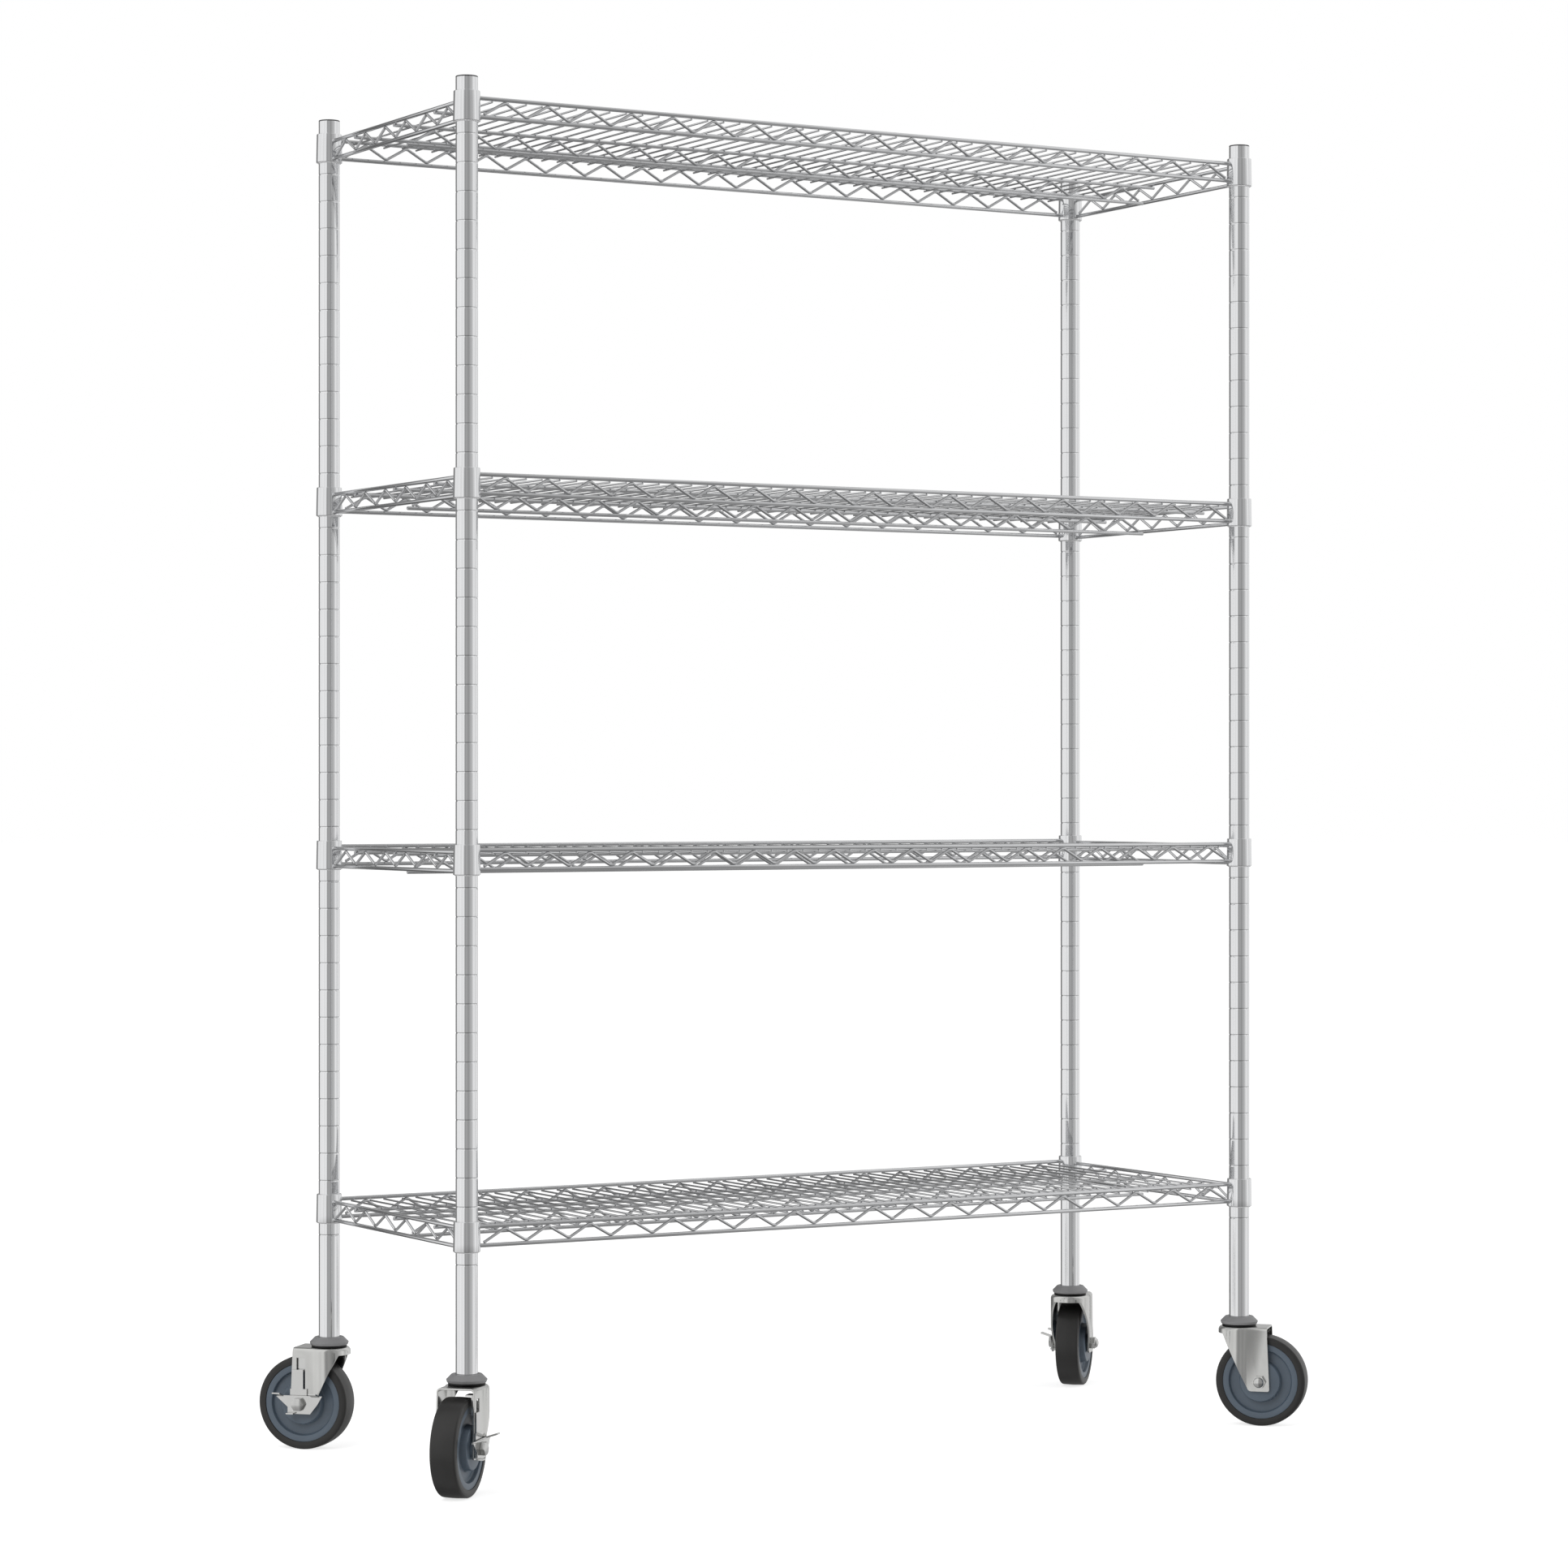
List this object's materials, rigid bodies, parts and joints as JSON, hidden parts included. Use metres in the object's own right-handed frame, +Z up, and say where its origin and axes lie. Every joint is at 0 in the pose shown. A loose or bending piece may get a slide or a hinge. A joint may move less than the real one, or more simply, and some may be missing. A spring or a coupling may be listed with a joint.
{
  "type": "wire shelving rack",
  "caption": "Open rack of chromed wire shelves on round grooved posts, standing on swivel casters with pedal brakes.",
  "frame": {"origin": "on the floor under the middle of the rack, between the four posts", "axes": "+X along the shelves to the right, +Y from the front to the back, +Z up along the posts"},
  "size_m": [1.3406, 0.5758, 1.773],
  "materials": {
    "cap_black": "satin black plastic",
    "chrome_post": "bright chrome plate",
    "sleeve_grey": "satin light grey plastic",
    "bumper_grey": "satin grey plastic",
    "race_steel": "darkened steel",
    "chrome_collar": "bright chrome plate",
    "chrome_wire": "bright chrome plate",
    "fork_zinc": "satin zinc plate",
    "hub_plastic": "satin blue-grey plastic",
    "tyre_rubber": "dark grey rubber",
    "bolt_zinc": "satin zinc plate",
    "brake_zinc": "satin zinc plate"
  },
  "bodies": {
    "frame": {"caster_bumpers": "bumper_grey", "caster_stems": "race_steel", "post_caps": "cap_black", "post_left_back": "chrome_post", "post_left_front": "chrome_post", "post_right_back": "chrome_post", "post_right_front": "chrome_post", "shelf_1_collars": "chrome_collar", "shelf_1_deck": "chrome_wire", "shelf_1_end_trusses": "chrome_wire", "shelf_1_long_trusses": "chrome_wire", "shelf_1_middle_truss": "chrome_wire", "shelf_1_sleeves": "sleeve_grey", "shelf_2_collars": "chrome_collar", "shelf_2_deck": "chrome_wire", "shelf_2_end_trusses": "chrome_wire", "shelf_2_long_trusses": "chrome_wire", "shelf_2_middle_truss": "chrome_wire", "shelf_2_sleeves": "sleeve_grey", "shelf_3_collars": "chrome_collar", "shelf_3_deck": "chrome_wire", "shelf_3_end_trusses": "chrome_wire", "shelf_3_long_trusses": "chrome_wire", "shelf_3_middle_truss": "chrome_wire", "shelf_3_sleeves": "sleeve_grey", "shelf_4_collars": "chrome_collar", "shelf_4_deck": "chrome_wire", "shelf_4_end_trusses": "chrome_wire", "shelf_4_long_trusses": "chrome_wire", "shelf_4_middle_truss": "chrome_wire", "shelf_4_sleeves": "sleeve_grey"},
    "left_front_caster": {"left_front_fork": "fork_zinc", "left_front_axle_bolt": "bolt_zinc", "left_front_axle_nut": "bolt_zinc"},
    "left_front_wheel": {"left_front_hub": "hub_plastic", "left_front_tyre": "tyre_rubber"},
    "left_front_pedal": {"left_front_brake_pedal": "brake_zinc"},
    "left_front_strap": {"left_front_brake_strap": "brake_zinc"},
    "left_back_caster": {"left_back_fork": "fork_zinc", "left_back_axle_bolt": "bolt_zinc", "left_back_axle_nut": "bolt_zinc"},
    "left_back_wheel": {"left_back_hub": "hub_plastic", "left_back_tyre": "tyre_rubber"},
    "left_back_pedal": {"left_back_brake_pedal": "brake_zinc"},
    "left_back_strap": {"left_back_brake_strap": "brake_zinc"},
    "right_front_caster": {"right_front_fork": "fork_zinc", "right_front_axle_bolt": "bolt_zinc", "right_front_axle_nut": "bolt_zinc"},
    "right_front_wheel": {"right_front_hub": "hub_plastic", "right_front_tyre": "tyre_rubber"},
    "right_front_pedal": {"right_front_brake_pedal": "brake_zinc"},
    "right_front_strap": {"right_front_brake_strap": "brake_zinc"},
    "right_back_caster": {"right_back_fork": "fork_zinc", "right_back_axle_bolt": "bolt_zinc", "right_back_axle_nut": "bolt_zinc"},
    "right_back_wheel": {"right_back_hub": "hub_plastic", "right_back_tyre": "tyre_rubber"},
    "right_back_pedal": {"right_back_brake_pedal": "brake_zinc"},
    "right_back_strap": {"right_back_brake_strap": "brake_zinc"}
  },
  "joints": [
    {"name": "left_front_swivel", "type": "hinge", "parent": "frame", "child": "left_front_caster", "pos_m": [-0.5932, -0.2108, 0.137], "axis": [0, 0, 1], "continuous": true},
    {"name": "left_front_roll", "type": "hinge", "parent": "left_front_caster", "child": "left_front_wheel", "pos_m": [-0.61569, -0.23329, 0.0625], "axis": [0.7071, -0.7071, 0], "continuous": true},
    {"name": "left_front_brake", "type": "hinge", "parent": "left_front_caster", "child": "left_front_pedal", "pos_m": [-0.61569, -0.23329, 0.0625], "axis": [0.7071, -0.7071, 0], "range_deg": [0, 15]},
    {"name": "left_front_strap_slide", "type": "slide", "parent": "left_front_caster", "child": "left_front_strap", "axis": [0, 0, 1], "range_m": [-0.0015, 0]},
    {"name": "left_back_swivel", "type": "hinge", "parent": "frame", "child": "left_back_caster", "pos_m": [-0.5932, 0.2108, 0.137], "axis": [0, 0, 1], "continuous": true},
    {"name": "left_back_roll", "type": "hinge", "parent": "left_back_caster", "child": "left_back_wheel", "pos_m": [-0.61569, 0.23329, 0.0625], "axis": [-0.7071, -0.7071, 0], "continuous": true},
    {"name": "left_back_brake", "type": "hinge", "parent": "left_back_caster", "child": "left_back_pedal", "pos_m": [-0.61569, 0.23329, 0.0625], "axis": [-0.7071, -0.7071, 0], "range_deg": [0, 15]},
    {"name": "left_back_strap_slide", "type": "slide", "parent": "left_back_caster", "child": "left_back_strap", "axis": [0, 0, 1], "range_m": [-0.0015, 0]},
    {"name": "right_front_swivel", "type": "hinge", "parent": "frame", "child": "right_front_caster", "pos_m": [0.5932, -0.2108, 0.137], "axis": [0, 0, 1], "continuous": true},
    {"name": "right_front_roll", "type": "hinge", "parent": "right_front_caster", "child": "right_front_wheel", "pos_m": [0.61569, -0.23329, 0.0625], "axis": [0.7071, 0.7071, 0], "continuous": true},
    {"name": "right_front_brake", "type": "hinge", "parent": "right_front_caster", "child": "right_front_pedal", "pos_m": [0.61569, -0.23329, 0.0625], "axis": [0.7071, 0.7071, 0], "range_deg": [0, 15]},
    {"name": "right_front_strap_slide", "type": "slide", "parent": "right_front_caster", "child": "right_front_strap", "axis": [0, 0, 1], "range_m": [-0.0015, 0]},
    {"name": "right_back_swivel", "type": "hinge", "parent": "frame", "child": "right_back_caster", "pos_m": [0.5932, 0.2108, 0.137], "axis": [0, 0, 1], "continuous": true},
    {"name": "right_back_roll", "type": "hinge", "parent": "right_back_caster", "child": "right_back_wheel", "pos_m": [0.61569, 0.23329, 0.0625], "axis": [-0.7071, 0.7071, 0], "continuous": true},
    {"name": "right_back_brake", "type": "hinge", "parent": "right_back_caster", "child": "right_back_pedal", "pos_m": [0.61569, 0.23329, 0.0625], "axis": [-0.7071, 0.7071, 0], "range_deg": [0, 15]},
    {"name": "right_back_strap_slide", "type": "slide", "parent": "right_back_caster", "child": "right_back_strap", "axis": [0, 0, 1], "range_m": [-0.0015, 0]}
  ],
  "couplings": [
    {"joint": "left_front_strap_slide", "follows": "left_front_brake", "m_per_rad": -0.0057},
    {"joint": "left_back_strap_slide", "follows": "left_back_brake", "m_per_rad": -0.0057},
    {"joint": "right_front_strap_slide", "follows": "right_front_brake", "m_per_rad": -0.0057},
    {"joint": "right_back_strap_slide", "follows": "right_back_brake", "m_per_rad": -0.0057}
  ]
}
